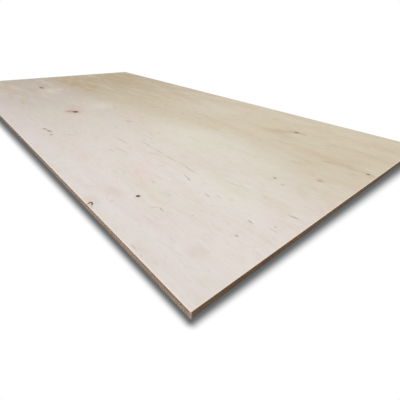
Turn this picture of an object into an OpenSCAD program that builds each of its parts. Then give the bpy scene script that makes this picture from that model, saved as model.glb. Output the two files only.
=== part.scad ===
// Birch plywood sheet, lying flat with its best face up.
// X runs along the face grain, Y across it and Z up through the veneers.
// The origin is at the middle of the back face.
// The sheet is one glued piece. Its sawn edges show the lay-up: veneers whose
// grain meets an edge end-on stand back a little from those that run along it.

/* [Sheet] */
// Length of the sheet, along the face grain (mm)
sheet_length = 2440; // [600:10:3050]
// Width of the sheet, across the face grain (mm)
sheet_width = 1220; // [300:10:1530]

/* [Lay-up] */
// Number of veneers, odd so that both faces have the same grain direction
ply_count = 13; // [3:2:21]
// Thickness of each inner veneer in the pressed sheet (mm)
inner_ply = 1.4; // [1:0.1:3]
// Thickness of each face veneer after sanding (mm)
face_ply = 1.3; // [0.8:0.1:3]

/* [Sawn edges] */
// How far a veneer's end grain stands back from the sawn edge (mm)
end_grain_setback = 0.15; // [0.05:0.05:0.4]
// Arris worn off the edges of both faces (mm)
arris = 0.3; // [0.1:0.1:0.5]

/* [Hidden] */

sheet_thickness = 2 * face_ply + (ply_count - 2) * inner_ply;
top_ply = ply_count - 1;

// How far the sweep of one section runs past the outline that the other one cuts
sweep_overrun = 2;

// Veneers are counted from the back: the faces are even numbers, with their grain along the length
function grain_of(ply) = ply % 2 == 0 ? "length" : "width";

// Height of the underside of a veneer, and of the sheet's top for the number after the last
function ply_height(ply) =
    ply == 0 ? 0
    : ply > top_ply ? sheet_thickness
    : face_ply + (ply - 1) * inner_ply;

// Half-size of a veneer on a section that runs in the direction that is given
function ply_reach(ply, half_size, direction) =
    half_size - (grain_of(ply) == direction ? end_grain_setback : 0);

// One edge of a section, from the back face up to the top face
function sawn_edge(half_size, direction) =
    let (face_reach = ply_reach(0, half_size, direction))
    concat(
        [[face_reach - arris, 0], [face_reach, arris]],
        [for (ply = [1 : top_ply])
            each [
                [ply_reach(ply - 1, half_size, direction), ply_height(ply)],
                [ply_reach(ply, half_size, direction), ply_height(ply)]
            ]],
        [[face_reach, sheet_thickness - arris], [face_reach - arris, sheet_thickness]]
    );

// Section through the lay-up, with a sawn edge at both sides
module lay_up_section(half_size, direction) {
    right_edge = sawn_edge(half_size, direction);
    left_edge = [for (i = [len(right_edge) - 1 : -1 : 0]) [-right_edge[i].x, right_edge[i].y]];
    polygon(concat(right_edge, left_edge));
}

// The sheet is what its lengthwise section and its crosswise section have in common
module plywood_sheet() {
    color("#dccfbf")
    intersection() {
        rotate([90, 0, 0])
            linear_extrude(sheet_width + sweep_overrun, center = true)
                lay_up_section(sheet_length / 2, "length");
        rotate([90, 0, 90])
            linear_extrude(sheet_length + sweep_overrun, center = true)
                lay_up_section(sheet_width / 2, "width");
    }
}

plywood_sheet();
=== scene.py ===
"""Birch plywood sheet, lying flat on a white studio floor with its best face up.

The sheet is one closed mesh: two veneered faces, and four sawn edges on which every ply shows.
X runs along the face grain, Y across it and Z up through the plies, in metres.
"""

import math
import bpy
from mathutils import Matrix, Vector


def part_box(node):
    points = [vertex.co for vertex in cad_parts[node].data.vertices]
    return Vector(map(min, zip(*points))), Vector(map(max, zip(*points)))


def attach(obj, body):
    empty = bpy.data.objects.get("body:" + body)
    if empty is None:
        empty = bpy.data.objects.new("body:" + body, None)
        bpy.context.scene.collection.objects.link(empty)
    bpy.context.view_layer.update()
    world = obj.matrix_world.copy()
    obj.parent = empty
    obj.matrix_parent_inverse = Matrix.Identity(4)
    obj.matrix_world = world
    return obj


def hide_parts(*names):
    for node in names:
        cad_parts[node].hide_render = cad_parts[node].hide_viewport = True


bl_info = {
    "name": "Birch Plywood Sheet",
    "version": (1, 0, 0),
    "blender": (4, 5, 0),
    "location": "View3D > Sidebar > Plywood",
    "description": "Builds a sheet of birch plywood and a white stage for it",
    "category": "Add Mesh",
}

from typing import NamedTuple

import bpy
import numpy as np
from bpy.props import FloatProperty, FloatVectorProperty, IntProperty, PointerProperty
from mathutils import Matrix, Vector

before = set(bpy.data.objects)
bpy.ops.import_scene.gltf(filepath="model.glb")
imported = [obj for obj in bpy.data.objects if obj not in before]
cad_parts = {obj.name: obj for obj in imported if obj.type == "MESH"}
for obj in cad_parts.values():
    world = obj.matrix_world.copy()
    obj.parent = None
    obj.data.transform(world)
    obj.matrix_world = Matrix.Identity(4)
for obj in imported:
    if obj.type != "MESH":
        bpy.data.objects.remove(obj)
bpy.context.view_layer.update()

SHEET_NODE = "plywood_sheet"
SHEET_BODY = "root"

MM = 0.001
SHEET_LOW, SHEET_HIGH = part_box(SHEET_NODE)
SHEET_SIZE = SHEET_HIGH - SHEET_LOW
HALF_LENGTH = SHEET_SIZE.x / 2
HALF_WIDTH = SHEET_SIZE.y / 2
THICKNESS = SHEET_SIZE.z
NEAR_CORNER = Vector((HALF_LENGTH, -HALF_WIDTH, 0))

# Sockets of a colour Mix node, whose names it shares with its other kinds of data
MIX_A = 6
MIX_B = 7
MIX_RESULT = 2


def linear(hex_colour):
    """Turns an sRGB hex colour into linear red, green, blue and an alpha of 1."""
    shares = [int(hex_colour[i : i + 2], 16) / 255 for i in (1, 3, 5)]
    return [s / 12.92 if s <= 0.04045 else ((s + 0.055) / 1.055) ** 2.4 for s in shares] + [1.0]


def add_node(tree, kind, inputs=None, **settings):
    """Adds a node with its settings, and links or sets each input that is given."""
    node = tree.nodes.new(kind)
    for name, value in settings.items():
        setattr(node, name, value)
    for key, value in (inputs or {}).items():
        if isinstance(value, bpy.types.NodeSocket):
            tree.links.new(value, node.inputs[key])
        else:
            node.inputs[key].default_value = value
    return node


class Mark(NamedTuple):
    """A mark on a face: place, size, turn, strength, and how deep it is dished. In mm and degrees."""

    x: float
    y: float
    length: float
    width: float
    turn: float
    strength: float
    depth: float = 0.0


FRONT_KNOTS = [
    Mark(-66, -304, 38, 28, 0, 0.84, 0.8),
    Mark(-800, -256, 76, 26, -2, 0.55),
    Mark(854, -488, 12, 12, 0, 0.95, 1.1),
    Mark(809, 347, 28, 21, 10, 0.62, 0.6),
    Mark(1192, 160, 13, 11, 0, 0.6),
    Mark(1018, -106, 12, 11, 0, 0.45),
    Mark(1059, -124, 16, 14, 20, 0.16),
    Mark(1117, -10, 18, 16, 20, 0.2),
]

# A dead knot with an open ring round it, at the very edge of the face, and the ring's share of its radius
RING_KNOT = Mark(815, -604, 20, 14, -42, 0.85, 1.0)
RING_RADIUS = 0.9

FRONT_STAINS = [
    Mark(-80, -305, 170, 110, 0, 0.36),
    Mark(-95, -324, 70, 26, 20, 0.55),
    Mark(-170, -275, 160, 70, 10, 0.16),
    Mark(-800, -252, 170, 70, 0, 0.12),
    Mark(795, 340, 110, 50, 20, 0.3),
    Mark(755, 312, 160, 100, 35, 0.24),
    Mark(854, -488, 26, 22, 0, 0.2),
    Mark(1192, 160, 44, 20, 0, 0.3),
    Mark(1018, -106, 34, 22, 0, 0.15),
    Mark(1117, -10, 50, 36, 0, 0.24),
    Mark(800, -592, 90, 50, 10, 0.14),
    Mark(814, -603, 14, 11, 0, 0.3),
    Mark(826, -606, 36, 12, 0, 0.4),
    Mark(795, -528, 110, 60, 20, 0.12),
    Mark(730, -560, 40, 14, 30, 0.14),
    Mark(1070, 150, 120, 36, 5, 0.22),
    Mark(1100, 290, 70, 30, 10, 0.16),
    Mark(1000, 60, 90, 40, 20, 0.14),
    Mark(-450, -452, 260, 46, -10, 0.2),
    Mark(-820, -440, 300, 160, 0, 0.12),
    Mark(1000, 170, 260, 120, 0, 0.06),
    Mark(-440, 330, 260, 160, -20, 0.14),
    Mark(66, 90, 110, 60, 0, 0.14),
    Mark(1118, -512, 70, 50, 20, 0.12),
]

FRONT_FLECKS = [
    Mark(131, -509, 30, 13, 8, 0.8),
    Mark(166, -503, 52, 11, 8, 0.8),
    Mark(223, -510, 24, 12, 20, 0.65),
    Mark(-396, -465, 22, 12, 10, 0.4),
    Mark(-88, -322, 60, 30, 47, 0.45),
    Mark(540, -262, 90, 9, -2, 0.26),
    Mark(625, -266, 80, 8, -2, 0.22),
    Mark(705, -270, 70, 8, -3, 0.22),
    Mark(805, -273, 104, 8, -5, 0.28),
    Mark(439, -318, 96, 9, 3, 0.28),
    Mark(643, -290, 98, 8, 15, 0.18),
    Mark(531, -368, 110, 6, 7, 0.2),
    Mark(833, -553, 14, 12, 0, 0.2),
    Mark(1014, -431, 8, 7, 0, 0.22),
    Mark(512, -398, 34, 9, 12, 0.26),
    Mark(260, -455, 86, 6, 33, 0.2),
    Mark(293, -258, 60, 6, 10, 0.22),
    Mark(232, -169, 40, 14, 14, 0.4),
    Mark(-50, -95, 56, 12, 0, 0.3),
    Mark(841, -314, 24, 5, -8, 0.5),
    Mark(862, -319, 24, 6, -14, 0.6),
    Mark(966, -340, 26, 5, -10, 0.45),
    Mark(992, -321, 26, 4.5, -10, 0.35),
    Mark(1120, -343, 20, 5, -8, 0.55),
    Mark(1175, -245, 32, 7, 10, 0.5),
    Mark(927, -484, 28, 3.5, 40, 0.4),
    Mark(946, -476, 24, 5, -8, 0.45),
    Mark(963, -524, 20, 5, 0, 0.16),
    Mark(1134, -408, 10, 9, 0, 0.42),
    Mark(1013, -365, 9, 8, 0, 0.2),
    Mark(1073, -223, 12, 9, 20, 0.2),
    Mark(1170, -314, 8, 7, 0, 0.35),
    Mark(984, -231, 80, 4, 15, 0.24),
    Mark(1026, -600, 26, 3.5, -3, 0.4),
    Mark(1057, -602, 14, 3, -6, 0.25),
    Mark(1060, 147, 42, 9, 12, 0.35),
    Mark(985, 302, 60, 9, 14, 0.3),
    Mark(1020, 285, 70, 7, 10, 0.2),
    Mark(1127, 163, 84, 5, -6, 0.22),
    Mark(1157, 118, 34, 6, 20, 0.32),
    Mark(779, 330, 50, 10, 40, 0.4),
    Mark(843, 347, 52, 11, -4, 0.5),
]

FRONT_DARK_PATCHES = [
    Mark(-640, 15, 320, 170, -12, 0.6),
    Mark(-880, -40, 520, 130, 6, 0.5),
    Mark(-800, -250, 170, 60, -2, 0.3),
    Mark(-900, 100, 460, 160, 0, 0.25),
    Mark(-850, 380, 800, 460, -6, 0.25),
    Mark(-660, 420, 200, 80, -10, 0.25),
    Mark(-400, -345, 130, 70, 30, 0.14),
    Mark(1060, 180, 320, 300, 0, 0.06),
    Mark(740, 310, 240, 130, 10, 0.12),
    Mark(1143, -122, 90, 70, 20, 0.14),
    Mark(1150, 420, 420, 460, 0, 0.1),
]

# Pale patches: the two at the near end are painted light, brighter towards the near corner; the rest are
# tone
FRONT_PALE_PATCHES_AND_LIGHT = [
    Mark(-136, -140, 260, 180, 10, 0.3),
    Mark(-670, -250, 300, 140, 0, 0.22),
    Mark(640, -60, 900, 360, 0, 0.45),
    Mark(1000, -250, 400, 260, 0, 0.3),
    Mark(260, 320, 500, 260, 0, 0.2),
]

BACK_KNOTS = [
    Mark(-640, 180, 30, 22, 10, 0.8),
    Mark(310, -260, 38, 24, -8, 0.85),
    Mark(930, 330, 12, 10, 0, 0.8),
    Mark(-150, 420, 9, 8, 0, 0.7),
]

BACK_STAINS = [
    Mark(-640, 180, 160, 90, 10, 0.4),
    Mark(310, -260, 200, 90, -8, 0.4),
    Mark(930, 330, 50, 26, 0, 0.3),
]

BACK_FLECKS = [
    Mark(-300, -90, 120, 8, 5, 0.4),
    Mark(620, 60, 180, 5, -3, 0.35),
    Mark(-880, -380, 90, 7, 8, 0.4),
    Mark(120, 210, 60, 8, -10, 0.35),
]

BACK_DARK_PATCHES = [Mark(-500, 100, 500, 300, 5, 0.2)]
BACK_PALE_PATCHES = [Mark(600, -200, 400, 180, -5, 0.3)]


class Figure(NamedTuple):
    """All that is drawn on one face of the sheet."""

    knots: list
    stains: list
    flecks: list
    dark_patches: list
    pale_patches: list
    ring_knot: Mark | None = None


FRONT_FIGURE = Figure(
    FRONT_KNOTS, FRONT_STAINS, FRONT_FLECKS, FRONT_DARK_PATCHES, FRONT_PALE_PATCHES_AND_LIGHT, RING_KNOT
)
BACK_FIGURE = Figure(BACK_KNOTS, BACK_STAINS, BACK_FLECKS, BACK_DARK_PATCHES, BACK_PALE_PATCHES)


def length_property(name, description, default):
    """A length that a user can change, in metres."""
    return FloatProperty(
        name=name, description=description, default=default, subtype="DISTANCE", unit="LENGTH"
    )


def angle_property(name, description, degrees):
    """An angle that a user can change, given in degrees."""
    return FloatProperty(name=name, description=description, default=math.radians(degrees), subtype="ANGLE")


def colour_property(name, description, hex_colour):
    """A colour that a user can change, given as sRGB hex."""
    return FloatVectorProperty(
        name=name, description=description, default=linear(hex_colour), size=4, subtype="COLOR"
    )


class PlywoodSheetSettings(bpy.types.PropertyGroup):
    """Lay-up, sawn edges and colours of the sheet."""

    ply_count: IntProperty(name="Plies", description="Number of veneers, an odd number", default=13, min=3)
    face_ply: length_property("Face veneer", "Thickness of each face veneer after sanding", 1.3 * MM)
    end_grain_setback: length_property(
        "End grain setback", "How far end grain stands back from the sawn edge", 0.15 * MM
    )
    glue_line: length_property(
        "Glue line", "Thickness of the glue between two veneers, as it shows on an edge", 0.2 * MM
    )
    arris: length_property("Arris", "Width of the worn corner between a face and an edge", 0.5 * MM)

    sapwood: colour_property("Sapwood", "Pale wood along the near side of the face", "#e3dbd4")
    # The far-end colours are partly darker wood and partly painted shade, for light that falls off far away
    sapwood_far_and_shade: colour_property("Sapwood at the far end", "Where the log is darker", "#b9aea3")
    heartwood: colour_property("Heartwood", "Tan wood along the far side of the face", "#d2c7b2")
    heartwood_far_and_shade: colour_property("Heartwood at the far end", "Where the log is darker", "#b3a590")
    dark_patch: colour_property("Dark patch", "Soft olive-brown patches", "#b0966a")
    pale_patch: colour_property("Pale patch", "Soft creamy patches", "#e6e4d8")
    ring_line: colour_property("Growth ring", "Late wood at the end of each growth ring", "#c4ad92")
    stain: colour_property("Knot stain", "Reddish wood round a knot", "#b88c68")
    knot: colour_property("Knot", "Dark middle of a knot", "#46321f")
    fleck: colour_property("Pith fleck", "Brown flecks and mineral streaks", "#8c7862")
    # Partly worn wood and partly a painted highlight along the arris
    arris_wear_and_highlight: colour_property("Worn arris", "Clean wood where the corner of the face is worn", "#f2e2d0")
    long_grain: colour_property("Long grain", "Ply whose grain runs along the sawn edge", "#ccb6a6")
    end_grain: colour_property("End grain", "Ply whose grain meets the sawn edge end-on", "#a8907e")
    glue: colour_property("Glue", "Dark resin glue between the plies", "#5a4334")


class PlywoodStageSettings(bpy.types.PropertyGroup):
    """Place, turn and lens of the camera."""

    camera_offset: FloatVectorProperty(
        name="Camera offset",
        description="Camera's place from the near corner of the face",
        default=(0.218, -0.189, 0.389),
        subtype="TRANSLATION",
        unit="LENGTH",
    )
    camera_azimuth: angle_property("Camera azimuth", "Turn of the camera to the left of +Y", 47.52)
    camera_tilt: angle_property("Camera tilt", "How far the camera looks down", 31.59)
    camera_roll: angle_property("Camera roll", "Turn of the camera about its own axis", 2.15)
    camera_lens: FloatProperty(
        name="Camera lens", description="Focal length on a 36 mm sensor, in mm", default=25.33
    )


def new_material(name):
    """Returns a new material, its node tree and its Principled shader."""
    material = bpy.data.materials.new(name)
    material.use_nodes = True
    tree = material.node_tree
    return material, tree, tree.nodes["Principled BSDF"]


def sheet_place(tree):
    """Place on the sheet in mm."""
    place = add_node(tree, "ShaderNodeTexCoord").outputs["Object"]
    return add_node(tree, "ShaderNodeVectorMath", {0: place, "Scale": 1 / MM}, operation="SCALE").outputs[0]


def edge_distances(tree, place):
    """How far inside the nearest end (X) and the nearest long side (Y) a place lies, in mm."""
    place = add_node(tree, "ShaderNodeVectorMath", {0: place}, operation="ABSOLUTE").outputs[0]
    inside = {0: (HALF_LENGTH / MM, HALF_WIDTH / MM, 0), 1: place}
    inside = add_node(tree, "ShaderNodeVectorMath", inside, operation="SUBTRACT").outputs[0]
    return add_node(tree, "ShaderNodeSeparateXYZ", {0: inside}).outputs


def grain_noise(tree, place, lumps, detail=2.0, roughness=0.5):
    """Noise whose lumps have this length along X, width along Y and height, in mm."""
    scale = {"Vector": place, "Scale": [1 / size for size in lumps]}
    sized = add_node(tree, "ShaderNodeMapping", scale).outputs[0]
    inputs = {"Vector": sized, "Scale": 1.0, "Detail": detail, "Roughness": roughness}
    return add_node(tree, "ShaderNodeTexNoise", inputs).outputs


def wandering(tree, place, lumps, reach):
    """The place moved by noise with these lumps, by up to about the reach along X and Y, in mm."""
    moved = {0: grain_noise(tree, place, lumps)["Color"], 1: (0.5, 0.5, 0.5)}
    moved = add_node(tree, "ShaderNodeVectorMath", moved, operation="SUBTRACT").outputs[0]
    moved = {0: moved, 1: (2 * reach[0], 2 * reach[1], 0), 2: place}
    return add_node(tree, "ShaderNodeVectorMath", moved, operation="MULTIPLY_ADD").outputs[0]


def tint_where(tree, colour, tint, value, start, end, share):
    """The colour with a tint over it, from none of it up to this share as a value goes from start to end."""
    amount = {"Value": value, "From Min": start, "From Max": end, "To Max": share}
    amount = add_node(tree, "ShaderNodeMapRange", amount, interpolation_type="SMOOTHSTEP").outputs[0]
    layers = {0: amount, MIX_A: colour, MIX_B: tint}
    return add_node(tree, "ShaderNodeMix", layers, data_type="RGBA").outputs[MIX_RESULT]


def mark_radius(tree, place, mark):
    """How far a place lies from a mark's middle, where 1 is the mark's own outline.

    It is worked out by plain sums, because a shader has no room for the values of many Mapping nodes.
    """
    turn = math.radians(mark.turn)
    along = (2 * math.cos(turn) / mark.length, 2 * math.sin(turn) / mark.length, 0)
    across = (-2 * math.sin(turn) / mark.width, 2 * math.cos(turn) / mark.width, 0)
    offset = {0: place, 1: (mark.x, mark.y, 0)}
    offset = add_node(tree, "ShaderNodeVectorMath", offset, operation="SUBTRACT").outputs[0]
    local = {}
    for axis, direction in enumerate((along, across)):
        share = {0: offset, 1: direction}
        local[axis] = add_node(tree, "ShaderNodeVectorMath", share, operation="DOT_PRODUCT").outputs["Value"]
    local = add_node(tree, "ShaderNodeCombineXYZ", local).outputs[0]
    return add_node(tree, "ShaderNodeVectorMath", {0: local}, operation="LENGTH").outputs["Value"]


def lay_marks(tree, colour, tint, place, marks, start, end):
    """The colour with marks over it, each of which fades in between these shares of its radius.

    Each mark joins the mask at once, because a shader can hold only so many values at a time.
    """
    mask = 0.0
    for mark in marks:
        fade = {"Value": mark_radius(tree, place, mark), "From Min": start, "From Max": end}
        fade["To Max"] = mark.strength
        fade = add_node(tree, "ShaderNodeMapRange", fade, interpolation_type="SMOOTHSTEP").outputs[0]
        mask = add_node(tree, "ShaderNodeMath", {0: mask, 1: fade}, operation="MAXIMUM").outputs[0]
    layers = {0: mask, MIX_A: colour, MIX_B: tint}
    return add_node(tree, "ShaderNodeMix", layers, data_type="RGBA").outputs[MIX_RESULT]


def ring_mouth(knot):
    """The side of a dead knot towards the near corner, where its ring is open."""
    return knot._replace(x=knot.x + 0.35 * knot.length, y=knot.y - 0.35 * knot.width)


def lay_ring(tree, colour, tint, place, knot):
    """The colour with a dark open ring over it, along the outline of a dead knot."""
    share = {"Value": mark_radius(tree, place, ring_mouth(knot)), "From Min": 0.5, "From Max": 1.1}
    share = add_node(tree, "ShaderNodeMapRange", {**share, "To Max": knot.strength}).outputs[0]
    radius = mark_radius(tree, place, knot)
    off_line = add_node(tree, "ShaderNodeMath", {0: radius, 1: RING_RADIUS}, operation="SUBTRACT").outputs[0]
    off_line = add_node(tree, "ShaderNodeMath", {0: off_line}, operation="ABSOLUTE").outputs[0]
    return tint_where(tree, colour, tint, off_line, 0.42, 0.16, share)


def lay_pith_flecks(tree, colour, tint, place, chance):
    """The colour with short dashes strewn along the grain, in this share of cells of 90 by 35 mm."""
    cell = (90, 35)
    dash = (14, 1.6)
    cells = {"Vector": place, "Scale": (1 / cell[0], 1 / cell[1], 1)}
    cells = add_node(tree, "ShaderNodeMapping", cells).outputs[0]
    nearest = add_node(tree, "ShaderNodeTexVoronoi", {"Vector": cells, "Scale": 1.0}).outputs
    away = {0: cells, 1: nearest["Position"]}
    away = add_node(tree, "ShaderNodeVectorMath", away, operation="SUBTRACT").outputs[0]
    away = {0: away, 1: (cell[0] / dash[0], cell[1] / dash[1], 0)}
    away = add_node(tree, "ShaderNodeVectorMath", away, operation="MULTIPLY").outputs[0]
    radius = add_node(tree, "ShaderNodeVectorMath", {0: away}, operation="LENGTH").outputs["Value"]
    draw = add_node(tree, "ShaderNodeSeparateXYZ", {0: nearest["Color"]}).outputs["X"]
    share = {"Value": draw, "From Min": chance, "From Max": 0, "To Max": 0.4}
    share = add_node(tree, "ShaderNodeMapRange", share).outputs[0]
    return tint_where(tree, colour, tint, radius, 1.3, 0.3, share)


def veneer_material(name, colours, figure):
    """Rotary-cut birch, sanded and left bare.

    The eye sees pale silky wood with broad soft toning, faint growth rings, brown flecks and a few knots.
    """
    material, tree, shader = new_material(name)
    place = sheet_place(tree)
    place = add_node(tree, "ShaderNodeVectorMath", {0: place, 1: (1, 1, 0)}, operation="MULTIPLY").outputs[0]
    drifting = wandering(tree, place, (420, 150, 1), (120, 60))
    curly = wandering(tree, place, (140, 70, 1), (40, 20))
    along, across, _ = add_node(tree, "ShaderNodeSeparateXYZ", {0: drifting}).outputs
    cloud = grain_noise(tree, curly, (260, 70, 1), detail=4, roughness=0.6)
    hue = add_node(tree, "ShaderNodeSeparateXYZ", {0: cloud["Color"]}).outputs

    # Pale sapwood with a blush of pink along one side, darker at the far end, partly tone and partly painted
    # shade
    far_end = -1150
    near_end = 900
    sapwood = tint_where(
        tree, tuple(colours.sapwood_far_and_shade), tuple(colours.sapwood), along, far_end, near_end, 1
    )
    sapwood = tint_where(tree, sapwood, linear("#dfc6c0"), hue["Z"], 0.46, 0.7, 0.3)

    # Tan heartwood with long flames along the other side, and a soft boundary that is wider at the near end
    # It too is darker at the far end, partly as painted shade
    heartwood = tint_where(
        tree, tuple(colours.heartwood_far_and_shade), tuple(colours.heartwood), along, far_end, 0.7 * near_end, 1
    )
    flames = grain_noise(tree, curly, (240, 60, 1), detail=4, roughness=0.6)["Fac"]
    heartwood = tint_where(tree, heartwood, linear("#a88c68"), flames, 0.48, 0.75, 0.22)
    heartwood = tint_where(tree, heartwood, linear("#e4dcc8"), flames, 0.48, 0.25, 0.22)
    heartwood = tint_where(tree, heartwood, linear("#c89c7c"), hue["Z"], 0.46, 0.72, 0.14)
    boundary = {"Value": along, "From Min": far_end, "From Max": near_end}
    low = add_node(tree, "ShaderNodeMapRange", {**boundary, "To Min": -200, "To Max": -350}).outputs[0]
    high = add_node(tree, "ShaderNodeMapRange", {**boundary, "To Min": 20, "To Max": 160}).outputs[0]
    colour = tint_where(tree, sapwood, heartwood, across, low, high, 1)
    colour = lay_marks(tree, colour, tuple(colours.dark_patch), drifting, figure.dark_patches, 1.2, 0.1)
    # Pale patches, of which those at the near end of the front are painted light
    colour = lay_marks(tree, colour, tuple(colours.pale_patch), drifting, figure.pale_patches, 1.2, 0.1)

    # Cloudy mottling and fine curls
    colour = tint_where(tree, colour, linear("#b9a284"), cloud["Fac"], 0.45, 0.75, 0.15)
    colour = tint_where(tree, colour, linear("#dedec8"), hue["X"], 0.46, 0.7, 0.28)
    mottle = grain_noise(tree, curly, (40, 18, 1), detail=4, roughness=0.65)["Fac"]
    colour = tint_where(tree, colour, linear("#a89078"), mottle, 0.5, 0.8, 0.14)
    colour = tint_where(tree, colour, linear("#efe9de"), mottle, 0.48, 0.2, 0.2)
    curls = wandering(tree, place, (24, 14, 1), (14, 8))
    curls = grain_noise(tree, curls, (24, 9, 1), detail=3, roughness=0.6)["Fac"]
    colour = tint_where(tree, colour, linear("#a89078"), curls, 0.5, 0.8, 0.16)

    # Growth rings about 40 mm apart, which a rotary cut shows as faint broken flames and loops
    ring_spacing = 40
    bent = wandering(tree, place, (420, 160, 1), (0, 130))
    bent = wandering(tree, bent, (60, 30, 1), (0, 7))
    rings = add_node(tree, "ShaderNodeSeparateXYZ", {0: bent}).outputs["Y"]
    rings = {0: rings, 1: ring_spacing}
    rings = add_node(tree, "ShaderNodeMath", rings, operation="WRAP").outputs[0]
    patchy = {"Value": grain_noise(tree, place, (130, 60, 1))["Fac"], "From Min": 0.45, "From Max": 0.75}
    patchy = add_node(tree, "ShaderNodeMapRange", {**patchy, "To Max": 0.16}).outputs[0]
    late_wood = 0.4 * ring_spacing
    colour = tint_where(tree, colour, tuple(colours.ring_line), rings, late_wood, ring_spacing, patchy)

    # Fibres: real ones are about 0.3 mm wide, and are drawn 2 to 4 mm wide so that they show
    fibre = grain_noise(tree, curly, (60, 2.5, 1), detail=3, roughness=0.6)["Fac"]
    colour = tint_where(tree, colour, tuple(colours.ring_line), fibre, 0.45, 0.8, 0.11)
    streak = grain_noise(tree, curly, (190, 4.5, 1))["Fac"]
    colour = tint_where(tree, colour, tuple(colours.fleck), streak, 0.62, 0.8, 0.12)

    # Cooler wood along the near side
    end_place, side_place, _ = add_node(tree, "ShaderNodeSeparateXYZ", {0: place}).outputs
    colour = tint_where(tree, colour, linear("#e3dbe8"), side_place, -440, -600, 0.16)

    # Stains, flecks and knots, with ragged outlines
    ragged = wandering(tree, place, (30, 9, 1), (7, 2))
    steady = wandering(tree, place, (12, 8, 1), (1.5, 1.5))
    colour = lay_marks(tree, colour, tuple(colours.stain), ragged, figure.stains, 1.1, 0.1)
    colour = lay_marks(tree, colour, tuple(colours.fleck), ragged, figure.flecks, 1.4, 0.2)
    colour = lay_pith_flecks(tree, colour, tuple(colours.fleck), ragged, 0.14)
    colour = lay_marks(tree, colour, tuple(colours.knot), steady, figure.knots, 1.15, 0.65)
    if figure.ring_knot:
        colour = lay_ring(tree, colour, tuple(colours.knot), steady, figure.ring_knot)

    # Greyer along the far end and the far side
    far_half = (HALF_LENGTH / MM, HALF_WIDTH / MM)
    colour = tint_where(tree, colour, linear("#969a9c"), end_place, 40 - far_half[0], -far_half[0], 0.4)
    colour = tint_where(tree, colour, linear("#969a9c"), side_place, far_half[1] - 20, far_half[1], 0.3)

    # A pale line along the edge of the face: partly worn wood and partly a painted highlight on the arris
    inside = edge_distances(tree, place)
    colour = tint_where(tree, colour, tuple(colours.arris_wear_and_highlight), inside["Y"], 5, 2.5, 0.6)
    colour = tint_where(tree, colour, tuple(colours.arris_wear_and_highlight), inside["X"], 5, 2.5, 0.3)

    tree.links.new(colour, shader.inputs["Base Color"])
    gloss = {"Value": fibre, "From Min": 0.3, "From Max": 0.8, "To Min": 0.58, "To Max": 0.7}
    tree.links.new(add_node(tree, "ShaderNodeMapRange", gloss).outputs[0], shader.inputs["Roughness"])
    shader.inputs["IOR"].default_value = 1.5
    shader.inputs["Specular IOR Level"].default_value = 0.05

    # Raised fibres of about a twentieth of a millimetre
    bump = {"Strength": 0.5, "Distance": 0.05 * MM, "Height": fibre}
    tree.links.new(add_node(tree, "ShaderNodeBump", bump).outputs[0], shader.inputs["Normal"])
    return material


def ply_edge_material(name, wood, streak_lumps):
    """Sawn edge of a birch ply, bare and slightly rough.

    The eye sees a brown band whose tone changes from log to log along it, with streaks or pores in it.
    """
    material, tree, shader = new_material(name)
    place = sheet_place(tree)

    # Each ply is a strip of its own veneer, some 300 mm long before the tone changes
    tone = grain_noise(tree, place, (300, 300, 1.4))["Fac"]
    colour = tint_where(tree, wood, linear("#9c7a64"), tone, 0.45, 0.75, 0.5)
    streak = grain_noise(tree, place, streak_lumps, detail=3)["Fac"]
    colour = tint_where(tree, colour, linear("#6e5644"), streak, 0.45, 0.8, 0.35)

    # Darker courses, drawn a few plies high so that they show
    course = grain_noise(tree, place, (160, 160, 4.5), detail=1)["Fac"]
    colour = tint_where(tree, colour, linear("#5c4636"), course, 0.48, 0.72, 0.4)

    # Greyer away from the near end, more olive towards the far side, and painted shade under the face veneer
    along, across, height = add_node(tree, "ShaderNodeSeparateXYZ", {0: place}).outputs
    colour = tint_where(tree, colour, linear("#58524c"), along, 850, 150, 0.3)
    colour = tint_where(tree, colour, linear("#a3aa78"), across, -400, 400, 0.22)
    shade_below_face = {0: height, 1: THICKNESS / MM - 2.4}
    shade_below_face = add_node(tree, "ShaderNodeMath", shade_below_face, operation="SUBTRACT").outputs[0]
    shade_below_face = add_node(tree, "ShaderNodeMath", {0: shade_below_face}, operation="ABSOLUTE").outputs[0]
    colour = tint_where(tree, colour, linear("#4c382a"), shade_below_face, 1.6, 0.6, 0.5)

    # The crosscut ends are browner, where the saw scorched them, and the upright corners are paler
    inside = edge_distances(tree, place)
    scorch = grain_noise(tree, place, (110, 110, 30))["Fac"]
    scorch = tint_where(tree, linear("#6e5420"), linear("#6a3a1c"), scorch, 0.4, 0.65, 1)
    colour = tint_where(tree, colour, scorch, inside["X"], 3, 2, 0.6)
    corner = {0: inside["X"], 1: inside["Y"]}
    corner = add_node(tree, "ShaderNodeMath", corner, operation="MAXIMUM").outputs[0]
    colour = tint_where(tree, colour, linear("#e4ccb0"), corner, 4, 1.5, 0.7)

    tree.links.new(colour, shader.inputs["Base Color"])
    shader.inputs["Roughness"].default_value = 0.85
    shader.inputs["IOR"].default_value = 1.5
    shader.inputs["Specular IOR Level"].default_value = 0.05
    bump = {"Strength": 0.6, "Distance": 0.1 * MM, "Height": streak}
    tree.links.new(add_node(tree, "ShaderNodeBump", bump).outputs[0], shader.inputs["Normal"])
    return material


def glue_material(name, glue):
    """Cured resin glue, which shows on a sawn edge as a thin dark brown line."""
    material, tree, shader = new_material(name)
    lumps = grain_noise(tree, sheet_place(tree), (20, 20, 20))["Fac"]
    colour = tint_where(tree, glue, linear("#7a5c46"), lumps, 0.4, 0.7, 0.5)
    tree.links.new(colour, shader.inputs["Base Color"])
    shader.inputs["Roughness"].default_value = 0.6
    shader.inputs["IOR"].default_value = 1.6
    shader.inputs["Specular IOR Level"].default_value = 0.05
    return material


# Mesh lines: the common pitch, and a finer one at each dished knot
LINE_PITCH = 24 * MM
FINE_PITCH = 1.5 * MM
FINE_REACH = 8
EDGE_MARGIN = 6 * MM


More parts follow.
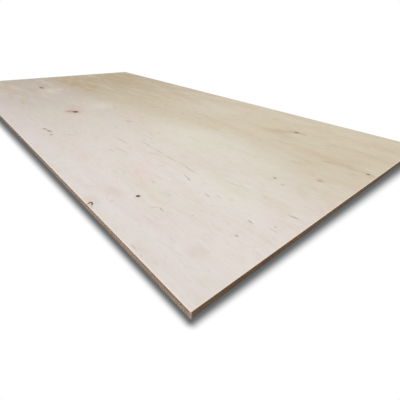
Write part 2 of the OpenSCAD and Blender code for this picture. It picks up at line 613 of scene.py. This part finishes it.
def grid_lines(half_size, centres):
    """Lines across the sheet, evenly spaced and closer together at each centre."""
    even = np.linspace(-half_size, half_size, round(2 * half_size / LINE_PITCH) + 1)
    offsets = np.arange(-FINE_REACH, FINE_REACH + 1) * FINE_PITCH
    fine = [centre + offset for centre in centres for offset in offsets]
    kept = [-half_size]
    for line in np.sort(np.concatenate([even[1:-1], fine])):
        if line - kept[-1] > 0.9 * FINE_PITCH and abs(line) < half_size - EDGE_MARGIN:
            kept.append(line)
    return np.array(kept + [half_size])


def point_radius(x, y, mark):
    """How far points of the mesh lie from a mark's middle, where 1 is the mark's own outline."""
    turn = math.radians(mark.turn)
    right = x / MM - mark.x
    up = y / MM - mark.y
    along = (right * math.cos(turn) + up * math.sin(turn)) / (mark.length / 2)
    across = (up * math.cos(turn) - right * math.sin(turn)) / (mark.width / 2)
    return np.hypot(along, across)


def face_relief(x, y, dished, ring_knot):
    """How far the face lies below its plane at the dished knots and along the open ring, in metres.

    The hollows end inside the dark wood, because their rims render with specks on pale wood.
    """
    dish_radius = 0.65
    groove_radius = 0.25
    mouth_radius = 0.9
    relief = np.zeros_like(x)
    for knot in dished:
        inside = np.clip(1 - (point_radius(x, y, knot) / dish_radius) ** 2, 0, 1)
        relief = np.maximum(relief, knot.depth * MM * inside**2)
    off_line = point_radius(x, y, ring_knot) - RING_RADIUS
    inside = np.clip(1 - (off_line / groove_radius) ** 2, 0, 1)
    whole = point_radius(x, y, ring_mouth(ring_knot)) > mouth_radius
    return np.maximum(relief, ring_knot.depth * MM * inside**2 * whole)


FRONT, BACK, LONG_GRAIN, END_GRAIN, GLUE = range(5)


class EdgeRow(NamedTuple):
    """A ring round the sawn edges: its height, its setback at the ends and sides, and the band above it."""

    height: float
    end_setback: float
    side_setback: float
    band: str


def edge_rows(settings):
    """Rings of the sawn edges, from the back face up through all the plies."""
    inner_ply = (THICKNESS - 2 * settings.face_ply) / (settings.ply_count - 2)
    half_glue = settings.glue_line / 2
    setback = settings.end_grain_setback
    arris = settings.arris
    rows = [EdgeRow(0.0, setback + arris, arris, "back")]
    bottom = 0.0
    for ply in range(settings.ply_count):
        lengthwise = ply % 2 == 0
        at_ends = setback if lengthwise else 0.0
        at_sides = 0.0 if lengthwise else setback
        first = ply == 0
        last = ply == settings.ply_count - 1
        top = bottom + (settings.face_ply if first or last else inner_ply)
        low = bottom + (arris if first else half_glue)
        high = top - (arris if last else half_glue)
        rows.append(EdgeRow(low, at_ends, at_sides, "lengthwise" if lengthwise else "crosswise"))
        rows.append(EdgeRow(high, at_ends, at_sides, "front" if last else "glue"))
        bottom = top
    rows.append(EdgeRow(THICKNESS, setback + arris, arris, "front"))
    return rows


def band_slot(band, side):
    """Material slot of a band of the sawn edge on one side of the sheet."""
    at_end = side in ("right", "left")
    if band == "lengthwise":
        return END_GRAIN if at_end else LONG_GRAIN
    if band == "crosswise":
        return LONG_GRAIN if at_end else END_GRAIN
    return {"glue": GLUE, "front": FRONT, "back": BACK}[band]


# Places of the parts on the bake map, as (left, bottom, width, height)
BAKE_BOXES = {
    "front": (0.004, 0.335, 0.992, 0.66),
    "back": (0.004, 0.14, 0.992, 0.185),
    "near": (0.004, 0.096, 0.992, 0.036),
    "far": (0.004, 0.052, 0.992, 0.036),
    "right": (0.004, 0.008, 0.49, 0.036),
    "left": (0.506, 0.008, 0.49, 0.036),
}


def build_sheet_mesh(settings):
    """Makes the sheet's closed mesh, its material slots and its bake map."""
    dished = [knot for knot in FRONT_KNOTS if knot.depth]
    centres = dished + [RING_KNOT]
    x_lines = grid_lines(HALF_LENGTH, [knot.x * MM for knot in centres])
    y_lines = grid_lines(HALF_WIDTH, [knot.y * MM for knot in centres])
    last_x = len(x_lines) - 1
    last_y = len(y_lines) - 1

    # Outline of the grid, from the near left corner round
    outline = [(i, 0, "near") for i in range(last_x)]
    outline += [(last_x, j, "right") for j in range(last_y)]
    outline += [(i, last_y, "far") for i in range(last_x, 0, -1)]
    outline += [(0, j, "left") for j in range(last_y, 0, -1)]
    outline_x = np.array([i for i, _, _ in outline])
    outline_y = np.array([j for _, j, _ in outline])
    columns = len(outline)

    points = []
    faces = []
    slots = []
    parts = []

    # Sawn edges: one ring of points a row, and a band of faces between each two rows
    rows = edge_rows(settings)
    for row in rows:
        x = x_lines[outline_x] / HALF_LENGTH * (HALF_LENGTH - row.end_setback)
        y = y_lines[outline_y] / HALF_WIDTH * (HALF_WIDTH - row.side_setback)
        points.append(np.column_stack([x, y, np.full(columns, row.height)]))
    for number, row in enumerate(rows[:-1]):
        below = number * columns
        above = below + columns
        for column, (_, _, side) in enumerate(outline):
            after = (column + 1) % columns
            faces.append((below + column, below + after, above + after, above + column))
            slots.append(band_slot(row.band, side))
            parts.append(side)

    # Faces: a grid inside the lowest ring and one inside the highest
    inner_x, inner_y = np.meshgrid(x_lines[1:-1], y_lines[1:-1], indexing="ij")
    heights = {
        "back": np.zeros_like(inner_x),
        "front": THICKNESS - face_relief(inner_x, inner_y, dished, RING_KNOT),
    }
    first_inner = len(rows) * columns
    for part, slot, ring in (("back", BACK, 0), ("front", FRONT, len(rows) - 1)):
        points.append(np.column_stack([inner_x.ravel(), inner_y.ravel(), heights[part].ravel()]))
        index = np.empty((last_x + 1, last_y + 1), dtype=int)
        index[1:-1, 1:-1] = first_inner + np.arange(inner_x.size).reshape(inner_x.shape)
        index[outline_x, outline_y] = ring * columns + np.arange(columns)
        first_inner += inner_x.size
        quads = np.stack([index[:-1, :-1], index[1:, :-1], index[1:, 1:], index[:-1, 1:]], axis=-1)
        quads = quads.reshape(-1, 4)
        faces += (quads if part == "front" else quads[:, ::-1]).tolist()
        slots += [slot] * len(quads)
        parts += [part] * len(quads)

    mesh = bpy.data.meshes.new("birch_plywood_sheet")
    points = np.concatenate(points)
    mesh.from_pydata(points.tolist(), [], faces)
    mesh.polygons.foreach_set("material_index", slots)
    mesh.polygons.foreach_set("use_smooth", [True] * len(faces))
    mesh.set_sharp_from_angle(angle=math.radians(30))
    ring_shares = np.arange(len(points)) // columns / (len(rows) - 1)
    lay_out_bake_map(mesh, points, faces, parts, ring_shares)
    mesh.validate()
    return mesh


def lay_out_bake_map(mesh, points, faces, parts, ring_shares):
    """Gives the mesh a map on which the front face has two thirds of the room and no faces overlap."""
    along_x = points[:, 0] / (2 * HALF_LENGTH) + 0.5
    along_y = points[:, 1] / (2 * HALF_WIDTH) + 0.5
    axes = {"front": (along_x, along_y), "back": (along_x, along_y)}
    axes.update({"near": (along_x, ring_shares), "far": (along_x, ring_shares)})
    axes.update({"right": (along_y, ring_shares), "left": (along_y, ring_shares)})
    places = []
    for quad, part in zip(faces, parts):
        left, bottom, width, height = BAKE_BOXES[part]
        across, up = axes[part]
        for point in quad:
            places.append(left + width * across[point])
            places.append(bottom + height * up[point])
    mesh.uv_layers.new(name="OFBake").uv.foreach_set("vector", places)


class MESH_OT_plywood_sheet_add(bpy.types.Operator):
    """Build the plywood sheet, with its veneered faces and sawn edges"""

    bl_idname = "mesh.plywood_sheet_add"
    bl_label = "Plywood Sheet"

    def execute(self, context):
        settings = context.scene.plywood_sheet
        mesh = build_sheet_mesh(settings)
        materials = {
            FRONT: veneer_material("birch_front_veneer", settings, FRONT_FIGURE),
            BACK: veneer_material("birch_back_veneer", settings, BACK_FIGURE),
            LONG_GRAIN: ply_edge_material("birch_ply_long_grain", tuple(settings.long_grain), (40, 40, 0.3)),
            END_GRAIN: ply_edge_material("birch_ply_end_grain", tuple(settings.end_grain), (1.2, 1.2, 0.8)),
            GLUE: glue_material("phenolic_glue_line", tuple(settings.glue)),
        }
        for slot in sorted(materials):
            mesh.materials.append(materials[slot])
        sheet = bpy.data.objects.new("birch_plywood_sheet", mesh)
        context.scene.collection.objects.link(sheet)

        # Light that the sheet throws back is left out, because it makes the shadow grainy
        sheet.visible_diffuse = False
        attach(sheet, SHEET_BODY)
        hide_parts(SHEET_NODE)
        return {"FINISHED"}


def seen_directly(tree):
    """1 for what the camera sees directly or in a reflection, and 0 for light that falls on the sheet."""
    rays = add_node(tree, "ShaderNodeLightPath").outputs
    seen = {0: rays["Is Camera Ray"], 1: rays["Is Glossy Ray"]}
    seen = add_node(tree, "ShaderNodeMath", seen, operation="MAXIMUM").outputs[0]
    seen = {0: seen, 1: rays["Is Transmission Ray"]}
    return add_node(tree, "ShaderNodeMath", seen, operation="MAXIMUM").outputs[0]


def floor_material():
    """Seamless white studio floor.

    It keeps the sheet's shadow and is plain white a little way off, soonest at the near corner.
    """
    shadow_widths = (0.024, 0.07)
    shadow_length = 1.5
    side_squeeze = (1, 1.2, 0)
    material = bpy.data.materials.new("white_studio_floor")
    material.use_nodes = True
    tree = material.node_tree
    tree.nodes.clear()
    place = add_node(tree, "ShaderNodeTexCoord").outputs["Object"]
    apart = add_node(tree, "ShaderNodeVectorMath", {0: place}, operation="ABSOLUTE").outputs[0]
    apart = {0: apart, 1: (HALF_LENGTH, HALF_WIDTH, 0)}
    apart = add_node(tree, "ShaderNodeVectorMath", apart, operation="SUBTRACT").outputs[0]
    apart = add_node(tree, "ShaderNodeVectorMath", {0: apart}, operation="MAXIMUM").outputs[0]
    apart = {0: apart, 1: side_squeeze}
    apart = add_node(tree, "ShaderNodeVectorMath", apart, operation="MULTIPLY").outputs[0]
    apart = add_node(tree, "ShaderNodeVectorMath", {0: apart}, operation="LENGTH").outputs["Value"]
    corner = {0: place, 1: NEAR_CORNER}
    corner = add_node(tree, "ShaderNodeVectorMath", corner, operation="DISTANCE").outputs["Value"]
    reach = {"Value": corner, "From Max": shadow_length}
    reach.update({"To Min": shadow_widths[0], "To Max": shadow_widths[1]})
    reach = add_node(tree, "ShaderNodeMapRange", reach).outputs[0]
    far_off = {"Value": apart, "From Max": reach}
    far_off = add_node(tree, "ShaderNodeMapRange", far_off, interpolation_type="SMOOTHERSTEP").outputs[0]

    # Painted cool cast: the floor is tinted cooler close to the sheet, where its shadow lies
    tone = tint_where(tree, linear("#f8fdff"), linear("#ffffff"), apart, 0, reach, 1)
    lit = add_node(tree, "ShaderNodeBsdfDiffuse", {"Color": tone}).outputs[0]
    plain = add_node(tree, "ShaderNodeEmission", {"Color": (1, 1, 1, 1), "Strength": 1.0}).outputs[0]
    bounce = add_node(tree, "ShaderNodeBsdfDiffuse", {"Color": (0.85, 0.85, 0.85, 1)}).outputs[0]
    shown = add_node(tree, "ShaderNodeMixShader", {0: far_off, 1: lit, 2: plain}).outputs[0]
    surface = {0: seen_directly(tree), 1: bounce, 2: shown}
    surface = add_node(tree, "ShaderNodeMixShader", surface).outputs[0]
    add_node(tree, "ShaderNodeOutputMaterial", {"Surface": surface})
    return material


def set_world(ambient):
    """White to the camera and in reflections, and a dim even light on everything else."""
    world = bpy.data.worlds.new("white_studio")
    world.use_nodes = True
    tree = world.node_tree
    tree.nodes.clear()
    light = add_node(tree, "ShaderNodeBackground", {"Color": (1, 1, 1, 1), "Strength": ambient}).outputs[0]
    white = add_node(tree, "ShaderNodeBackground", {"Color": (1, 1, 1, 1), "Strength": 1.0}).outputs[0]
    surface = {0: seen_directly(tree), 1: light, 2: white}
    surface = add_node(tree, "ShaderNodeMixShader", surface).outputs[0]
    add_node(tree, "ShaderNodeOutputWorld", {"Surface": surface})
    bpy.context.scene.world = world


def add_sun(name, place, energy, degrees, receivers):
    """Adds a sun of this angle, which shines from its place to the origin and lights only the receivers.

    Reflections show the white room and no lamp.
    """
    lamp = bpy.data.lights.new(name, "SUN")
    lamp.energy = energy
    lamp.angle = math.radians(degrees)
    holder = bpy.data.objects.new(name, lamp)
    holder.location = place
    holder.rotation_euler = (-Vector(place)).to_track_quat("-Z", "Y").to_euler()
    holder.visible_camera = False
    holder.visible_glossy = False
    holder.light_linking.receiver_collection = receivers
    bpy.context.scene.collection.objects.link(holder)


def add_camera(settings):
    """Adds the camera at the near corner, looking along the sheet."""
    camera = bpy.data.cameras.new("camera")
    camera.lens = settings.camera_lens
    camera.sensor_width = 36
    camera.clip_start = 0.01
    camera.clip_end = 200
    azimuth = settings.camera_azimuth
    tilt = settings.camera_tilt
    forward = Vector(
        (-math.sin(azimuth) * math.cos(tilt), math.cos(azimuth) * math.cos(tilt), -math.sin(tilt))
    )
    level = forward.to_track_quat("-Z", "Y").to_matrix()
    turned = level @ Matrix.Rotation(settings.camera_roll, 3, "Z")
    place = NEAR_CORNER + Vector((0, 0, THICKNESS)) + Vector(settings.camera_offset)
    holder = bpy.data.objects.new("camera", camera)
    holder.matrix_world = Matrix.Translation(place) @ turned.to_4x4()
    bpy.context.scene.collection.objects.link(holder)
    bpy.context.scene.camera = holder


class SCENE_OT_plywood_stage_add(bpy.types.Operator):
    """Add the white floor, the lamps and the camera"""

    bl_idname = "scene.plywood_stage_add"
    bl_label = "White Stage"

    def execute(self, context):
        settings = context.scene.plywood_stage
        size = 40.0
        drop = 0.2 * MM
        mesh = bpy.data.meshes.new("studio_floor")
        corners = [(-size, -size, -drop), (size, -size, -drop), (size, size, -drop), (-size, size, -drop)]
        mesh.from_pydata(corners, [], [(0, 1, 2, 3)])
        mesh.materials.append(floor_material())
        floor = bpy.data.objects.new("studio_floor", mesh)
        context.scene.collection.objects.link(floor)
        set_world(ambient=0.135)

        # Suns: from behind and level from in front for the sheet, and a low soft one for its shadow
        sheet_only = bpy.data.collections.new("sheet_only")
        sheet_only.objects.link(bpy.data.objects["birch_plywood_sheet"])
        floor_only = bpy.data.collections.new("floor_only")
        floor_only.objects.link(floor)
        add_sun("back_light", (-1.6, 1.45, 2.3), 3.67, 3, sheet_only)
        add_sun("front_light", (1.0, -1.8, 0.02), 2.05, 0.5, sheet_only)
        add_sun("shadow_light", (-2.1, 1.45, 0.6), 13.1, 14, floor_only)
        add_camera(settings)
        context.scene.view_settings.view_transform = "Standard"
        return {"FINISHED"}


class VIEW3D_PT_plywood(bpy.types.Panel):
    """Sizes and colours of the sheet and its stage"""

    bl_label = "Plywood Sheet"
    bl_space_type = "VIEW_3D"
    bl_region_type = "UI"
    bl_category = "Plywood"

    def draw(self, context):
        layout = self.layout
        for settings in (context.scene.plywood_sheet, context.scene.plywood_stage):
            for name in settings.bl_rna.properties.keys():
                if name not in ("rna_type", "name"):
                    layout.prop(settings, name)
        layout.operator(MESH_OT_plywood_sheet_add.bl_idname)
        layout.operator(SCENE_OT_plywood_stage_add.bl_idname)


CLASSES = (
    PlywoodSheetSettings,
    PlywoodStageSettings,
    MESH_OT_plywood_sheet_add,
    SCENE_OT_plywood_stage_add,
    VIEW3D_PT_plywood,
)


def register():
    for cls in CLASSES:
        bpy.utils.register_class(cls)
    bpy.types.Scene.plywood_sheet = PointerProperty(type=PlywoodSheetSettings)
    bpy.types.Scene.plywood_stage = PointerProperty(type=PlywoodStageSettings)


def unregister():
    del bpy.types.Scene.plywood_stage
    del bpy.types.Scene.plywood_sheet
    for cls in reversed(CLASSES):
        bpy.utils.unregister_class(cls)


def main():
    """Builds the sheet and its stage."""
    register()
    bpy.ops.mesh.plywood_sheet_add()
    bpy.ops.scene.plywood_stage_add()
    bpy.context.view_layer.update()


if __name__ == "__main__":
    main()
